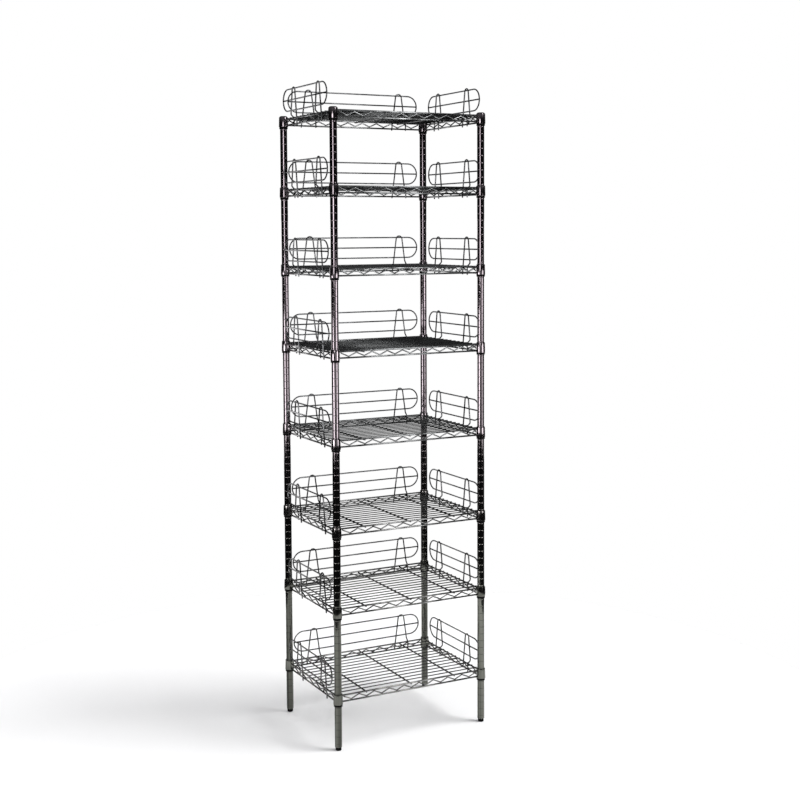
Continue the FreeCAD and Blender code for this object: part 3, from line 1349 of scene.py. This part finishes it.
    def build_row(
        self, name: str, wire: Wire, count: int, first: Vector, step: Vector, sides: int
    ) -> bpy.types.Mesh:
        """A row of equal straight wires.

        Args:
            name: Name of the mesh.
            wire: One wire, centred on the origin.
            count: How many.
            first: Place of the first one.
            step: From one to the next.
            sides: Facets round the wire.

        Returns:
            The row's mesh.
        """
        sizes = {"Sides": sides, "Finish": self.finishes.deck}
        single = self.trees.wire.bake(name + "_single", wire_net(name + "_line", [wire]), sizes)
        return self.trees.row.bake(
            name,
            single,
            {"Count": count, "First": tuple(first), "Step": tuple(step), "Finish": self.finishes.deck},
        )

    def build_deck(self) -> bpy.types.Mesh:
        """Deck wires over their cross wires.

        Returns:
            The deck's mesh.
        """
        along = Vector((self.layout.half_width + self.deck_overhang, 0.0, 0.0))
        across = Vector((0.0, self.layout.half_depth, 0.0))
        deck = self.build_row(
            "deck_wires",
            Wire.straight(along, self.deck_wire + self.coat),
            self.deck_count,
            Vector((0.0, self.deck_edge_gap - self.layout.half_depth, self.long_top)),
            Vector((0.0, self.deck_pitch, 0.0)),
            self.deck_sides,
        )
        cross = self.build_row(
            "cross_wires",
            Wire.straight(across, self.cross_wire),
            self.cross_count,
            Vector((-self.cross_offset, 0.0, self.cross_height)),
            Vector((self.cross_offset, 0.0, 0.0)),
            self.frame_sides,
        )
        return joined("deck", [deck, cross])

    def deck_welds(self) -> list[Vector]:
        """Points where the deck wires are welded to the wires below them.

        Returns:
            The weld points.
        """
        wide = self.layout.half_width
        contact = self.long_top - self.deck_wire
        front = self.deck_edge_gap - self.layout.half_depth
        rows = [front + index * self.deck_pitch for index in range(self.deck_count)]
        columns = (-wide, -self.cross_offset, 0.0, self.cross_offset, wide)
        return [Vector((x, y, contact)) for x in columns for y in rows]

    def build(self) -> None:
        """Places the eight shelves."""
        collars = self.build_collars()
        trusses, truss_welds = self.build_trusses()
        deck = self.build_deck()
        seeds = point_cloud("weld_points", truss_welds + self.deck_welds())
        sizes = {"Radius": self.nugget, "Finish": self.finishes.wire}
        welds = self.trees.weld.bake("welds", seeds, sizes)
        for number in self.layout.numbers:
            body = f"shelf_{number}"
            level = self.layout.level(number)
            add_piece(f"trusses_{number}", raised(trusses, level), body, [body])
            add_piece(f"deck_{number}", raised(deck, level), body)
            add_piece(f"collars_{number}", raised(collars, level), body)
            add_piece(f"welds_{number}", raised(welds, level), body)


@dataclass
class LedgeSet(Assembly):
    """Lift-off ledges: a rounded wire loop, a middle wire and two hairpins over the truss."""

    shelf: ShelfSet
    wire: float = 0.0025
    loop_bottom: float = 0.0265
    loop_height: float = 0.0762
    back_inset: float = 0.023
    side_inset: float = 0.026
    gap: float = 0.0003
    foot_spread: float = 0.022
    top_spread: float = 0.0115
    head_drop: float = 0.005
    tail: float = 0.028
    jog_angle: float = math.radians(45)
    back_hairpin_shift: float = 0.009
    side_hairpin_gaps: int = 7
    nugget: float = 0.0021
    sides: int = 14
    arc_steps: int = 16

    @property
    def stand_off(self) -> float:
        """Distance of the hairpin legs from the truss plane."""
        return self.shelf.frame_wire + self.wire + self.gap

    @property
    def loop_offset(self) -> float:
        """Distance of the loop from the truss plane."""
        return self.stand_off + 2 * self.wire - self.shelf.bite

    @property
    def lean(self) -> float:
        """How far a hairpin leg leans in for each metre up."""
        return (self.foot_spread - self.top_spread) / self.loop_height

    @property
    def loop_top(self) -> float:
        """Height of the loop's top wire above the truss."""
        return self.loop_bottom + self.loop_height

    @property
    def head(self) -> tuple[float, float]:
        """The round head of a hairpin.

        Returns:
            Height of its middle, and its radius.
        """
        base = self.loop_top - self.head_drop
        spread = self.spread_at(base)
        return base - spread * self.lean, math.hypot(spread, spread * self.lean)

    def spread_at(self, height: float) -> float:
        """Half width of a hairpin at a height above the truss's top wire."""
        return self.foot_spread + self.lean * (self.loop_bottom - height)

    def hairpin(self, middle: float) -> Wire:
        """One hairpin over a truss along X.

        Args:
            middle: Place of its middle along the truss.

        Returns:
            The bent wire: outer leg, head, jog over the top wire, inner leg.
        """
        slope = math.atan(self.lean)
        centre, radius = self.head
        out = self.stand_off
        jog_low = out * math.tan(self.jog_angle / 2)
        jog_high = jog_low + 2 * out * math.tan(self.jog_angle)
        inner = self.spread_at(jog_high)
        points = [Vector((-self.spread_at(-self.tail), out, -self.tail))]
        for step in range(self.arc_steps + 1):
            angle = math.pi - slope - (math.pi - 2 * slope) * step / self.arc_steps
            points.append(Vector((radius * math.cos(angle), out, centre + radius * math.sin(angle))))
        jog = [
            points[-1],
            Vector((inner, out, jog_high)),
            Vector((inner, -out, jog_low)),
            Vector((inner, -out, -self.tail)),
        ]
        points += bend_corners(jog, out)[1:]
        return Wire([point + Vector((middle, 0.0, 0.0)) for point in points], self.wire)

    def loop(self, half_length: float) -> Wire:
        """The rounded loop of a ledge along X.

        Args:
            half_length: Half the loop's length.

        Returns:
            The closed wire.
        """
        radius = self.loop_height / 2
        middle = self.loop_bottom + radius
        straight = half_length - radius
        points = []
        for sign in (1, -1):
            for step in range(self.arc_steps + 1):
                angle = sign * (math.pi * step / self.arc_steps - QUARTER_TURN)
                x = sign * (straight + radius * math.cos(angle))
                points.append(Vector((x, self.loop_offset, middle + radius * math.sin(angle))))
        return Wire(points, self.wire, closed=True)

    def build_ledge(self, name: str, half_length: float, hairpin_offset: float) -> bpy.types.Mesh:
        """One ledge along X over a truss whose top wire is the X axis.

        Args:
            name: Name of the mesh.
            half_length: Half the loop's length.
            hairpin_offset: Distance of the hairpins from the middle.

        Returns:
            The ledge's mesh.
        """
        middle = self.loop_bottom + self.loop_height / 2
        centre, radius = self.head
        spreads = {
            self.loop_bottom: self.spread_at(self.loop_bottom),
            middle: self.spread_at(middle),
            self.loop_top: math.sqrt(radius ** 2 - (self.loop_top - centre) ** 2),
        }
        reach = Vector((half_length - self.wire + self.shelf.bite, 0.0, 0.0))
        rail = Wire.straight(reach, self.wire, Vector((0.0, self.loop_offset, middle)))
        wires = [self.loop(half_length), rail]
        welds = []
        for sign in (-1, 1):
            wires.append(self.hairpin(sign * hairpin_offset))
            for height, spread in spreads.items():
                for leg in (-1, 1):
                    x = sign * hairpin_offset + leg * spread
                    welds.append(Vector((x, self.stand_off + self.wire, height)))
        sizes = {"Sides": self.sides, "Finish": self.finishes.ledge}
        bent = self.trees.wire.bake(name + "_wires", wire_net(name + "_lines", wires), sizes)
        nuggets = self.trees.weld.bake(
            name + "_welds",
            point_cloud(name + "_points", welds),
            {"Radius": self.nugget, "Finish": self.finishes.ledge},
        )
        return joined(name, [bent, nuggets])

    def build(self) -> None:
        """Places the ledges on the back and both sides of every shelf."""
        wide, deep = self.layout.half_width, self.layout.half_depth
        back_offset = self.shelf.cross_offset + self.back_hairpin_shift
        back = self.build_ledge("back_ledge_wires", wide - self.back_inset, back_offset)
        side_offset = self.side_hairpin_gaps * self.shelf.deck_pitch / 2
        side = self.build_ledge("side_ledge_wires", deep - self.side_inset, side_offset)
        turn = Matrix.Rotation(QUARTER_TURN, 4, "Z")
        seats = {
            Side.BACK: (back, Matrix.Translation((0.0, deep, self.shelf.long_top))),
            Side.LEFT: (side, Matrix.Translation((-wide, 0.0, self.shelf.side_top)) @ turn),
            Side.RIGHT: (side, Matrix.Translation((wide, 0.0, self.shelf.side_top)) @ turn.inverted()),
        }
        for number in self.layout.numbers:
            lift = Matrix.Translation((0.0, 0.0, self.layout.level(number)))
            for where, (mesh, seat) in seats.items():
                node = f"{where.value}_{number}"
                ledge = placed(mesh, lift @ seat)
                add_piece(f"{where.value}_wires_{number}", ledge, node, [node])


# Stage


@dataclass(frozen=True)
class Sun:
    """A distant soft light.

    Attributes:
        name: Name of the light.
        strength: Its strength.
        spread: Its apparent width in degrees.
        towards: Direction from the unit to the light.
    """

    name: str
    strength: float
    spread: float
    towards: tuple[float, float, float]


@dataclass(frozen=True)
class Panel:
    """An upright lit panel that the plating mirrors as a streak.

    Attributes:
        name: Name of the light.
        glow: How bright its face looks.
        size: Width and height.
        bearing: Degrees to the right of the line to the camera, as seen from the unit.
        middle: Height of its middle.
    """

    name: str
    glow: float
    size: tuple[float, float]
    bearing: float
    middle: float


SUNS = (
    Sun("soft_key", strength=2.4, spread=26, towards=(0.474, -0.323, 0.819)),
    Sun("overhead_fill", strength=0.95, spread=70, towards=(0.0, 0.0, 1.0)),
)
PANELS = (
    Panel("left_panel", glow=12.0, size=(1.3, 0.68), bearing=-46, middle=1.0),
    Panel("right_panel", glow=7.0, size=(1.2, 0.94), bearing=50, middle=1.12),
    Panel("front_panel", glow=0.9, size=(1.4, 0.8), bearing=8, middle=1.05),
    Panel("upper_panel", glow=8.0, size=(0.9, 0.85), bearing=-14, middle=1.95),
    Panel("high_panel", glow=11.0, size=(0.9, 1.5), bearing=54, middle=3.6),
    Panel("back_left_panel", glow=3.0, size=(1.2, 1.3), bearing=-140, middle=1.2),
    Panel("back_right_panel", glow=3.0, size=(1.2, 1.3), bearing=142, middle=1.2),
)


@dataclass
class Studio:
    """Pale floor, soft lights and the camera at the photograph's angle."""

    finishes: Finishes
    floor_radius: float = 1.75
    floor_segments: int = 96
    image_size: float = 800.0
    focal_pixels: float = 1328.0
    centre_x_pixel: float = 392.8
    centre_y_pixel: float = 333.6
    sensor_width: float = 36.0
    panel_distance: float = 2.6
    panel_tint: Tone = (1.0, 0.98, 0.99)
    room_stops: tuple[tuple[float, Tone], ...] = ((0.1, (0.02, 0.02, 0.021)), (0.3, (0.34, 0.34, 0.35)))
    far_clip: float = 200.0
    eye: tuple[float, float, float] = (-2.1863, -4.2714, 1.7955)
    yaw: float = math.radians(27.564)
    pitch: float = math.radians(-4.457)
    roll: float = math.radians(-0.305)

    def build_camera(self) -> None:
        """Camera with the photograph's place, aim and framing."""
        data = bpy.data.cameras.new("photo_camera")
        data.sensor_width = self.sensor_width
        data.lens = self.focal_pixels / self.image_size * self.sensor_width
        data.shift_x = 0.5 - self.centre_x_pixel / self.image_size
        data.shift_y = self.centre_y_pixel / self.image_size - 0.5
        data.clip_end = self.far_clip
        forward = Vector((
            math.sin(self.yaw) * math.cos(self.pitch),
            math.cos(self.yaw) * math.cos(self.pitch),
            math.sin(self.pitch),
        ))
        level_right = Vector((math.cos(self.yaw), -math.sin(self.yaw), 0.0))
        level_up = level_right.cross(forward)
        right = level_right * math.cos(self.roll) + level_up * math.sin(self.roll)
        up = level_up * math.cos(self.roll) - level_right * math.sin(self.roll)
        turn = Matrix((right, up, -forward)).transposed().to_4x4()
        camera = bpy.data.objects.new("photo_camera", data)
        camera.matrix_world = Matrix.Translation(self.eye) @ turn
        bpy.context.scene.collection.objects.link(camera)
        bpy.context.scene.camera = camera

    def build_floor(self) -> None:
        """Round pale floor, bright enough to run into the white surround."""
        outline: Outline = [(self.floor_radius, 0.0), (0.0, 0.0)]
        mesh = lathe("floor", outline, self.floor_segments, closed=False)
        mesh.materials.append(self.finishes.floor)
        floor = bpy.data.objects.new("floor", mesh)
        bpy.context.scene.collection.objects.link(floor)

    def build_world(self) -> None:
        """White surround for the eye, and a dim room with a bright low band for the metal."""
        world = bpy.data.worlds.new("studio")
        world.use_nodes = True
        bpy.context.scene.world = world
        nodes = world.node_tree.nodes
        links = world.node_tree.links
        nodes.clear()
        output = nodes.new("ShaderNodeOutputWorld")
        mix = nodes.new("ShaderNodeMixShader")
        path = nodes.new("ShaderNodeLightPath")
        room = nodes.new("ShaderNodeBackground")
        white = nodes.new("ShaderNodeBackground")
        white.inputs["Color"].default_value = (1.0, 1.0, 1.0, 1.0)
        place = nodes.new("ShaderNodeTexCoord")
        split = nodes.new("ShaderNodeSeparateXYZ")
        ramp = nodes.new("ShaderNodeValToRGB")
        for stop, (position, tone) in zip(ramp.color_ramp.elements, self.room_stops):
            stop.position = position
            stop.color = (*tone, 1.0)
        links.new(place.outputs["Generated"], split.inputs["Vector"])
        links.new(split.outputs["Z"], ramp.inputs["Fac"])
        links.new(ramp.outputs["Color"], room.inputs["Color"])
        links.new(path.outputs["Is Camera Ray"], mix.inputs["Fac"])
        links.new(room.outputs["Background"], mix.inputs[1])
        links.new(white.outputs["Background"], mix.inputs[2])
        links.new(mix.outputs["Shader"], output.inputs["Surface"])

    def add_sun(self, sun: Sun) -> None:
        """Adds a distant soft light that the metal does not mirror.

        Args:
            sun: What is known of the light.
        """
        data = bpy.data.lights.new(sun.name, "SUN")
        data.energy = sun.strength
        data.angle = math.radians(sun.spread)
        light = bpy.data.objects.new(sun.name, data)
        light.rotation_euler = Vector(sun.towards).to_track_quat("Z", "Y").to_euler()
        light.visible_glossy = False
        bpy.context.scene.collection.objects.link(light)

    def add_panel(self, panel: Panel) -> None:
        """Adds an upright lit panel that only the metal shows.

        Args:
            panel: What is known of the panel.
        """
        width, height = panel.size
        data = bpy.data.lights.new(panel.name, "AREA")
        data.shape = "RECTANGLE"
        data.size = width
        data.size_y = height
        # A panel looks as bright as its power, shared over its area and over pi.
        data.energy = panel.glow * math.pi * width * height
        data.color = self.panel_tint
        to_eye = Vector((self.eye[0], self.eye[1], 0.0)).normalized()
        out = Matrix.Rotation(math.radians(panel.bearing), 3, "Z") @ to_eye
        light = bpy.data.objects.new(panel.name, data)
        light.location = out * self.panel_distance + Vector((0.0, 0.0, panel.middle))
        light.rotation_euler = out.to_track_quat("Z", "Y").to_euler()
        light.visible_camera = False
        light.visible_diffuse = False
        bpy.context.scene.collection.objects.link(light)

    def build(self) -> None:
        """Sets the stage."""
        self.build_camera()
        self.build_floor()
        self.build_world()
        for sun in SUNS:
            self.add_sun(sun)
        for panel in PANELS:
            self.add_panel(panel)


def main() -> None:
    """Builds the unit from its posts outwards, then the stage."""
    logging.basicConfig(level=logging.INFO, format="%(name)s %(message)s")
    bpy.context.scene.view_settings.view_transform = "Standard"
    layout = Layout()
    trees = Trees()
    finishes = Finishes.mixed()
    PostSet(layout, trees, finishes).build()
    FootSet(layout, trees, finishes).build()
    sleeves = SleeveSet(layout, trees, finishes)
    sleeves.build()
    shelves = ShelfSet(layout, trees, finishes, sleeves)
    shelves.build()
    LedgeSet(layout, trees, finishes, shelves).build()
    Studio(finishes).build()


if __name__ == "__main__":
    main()
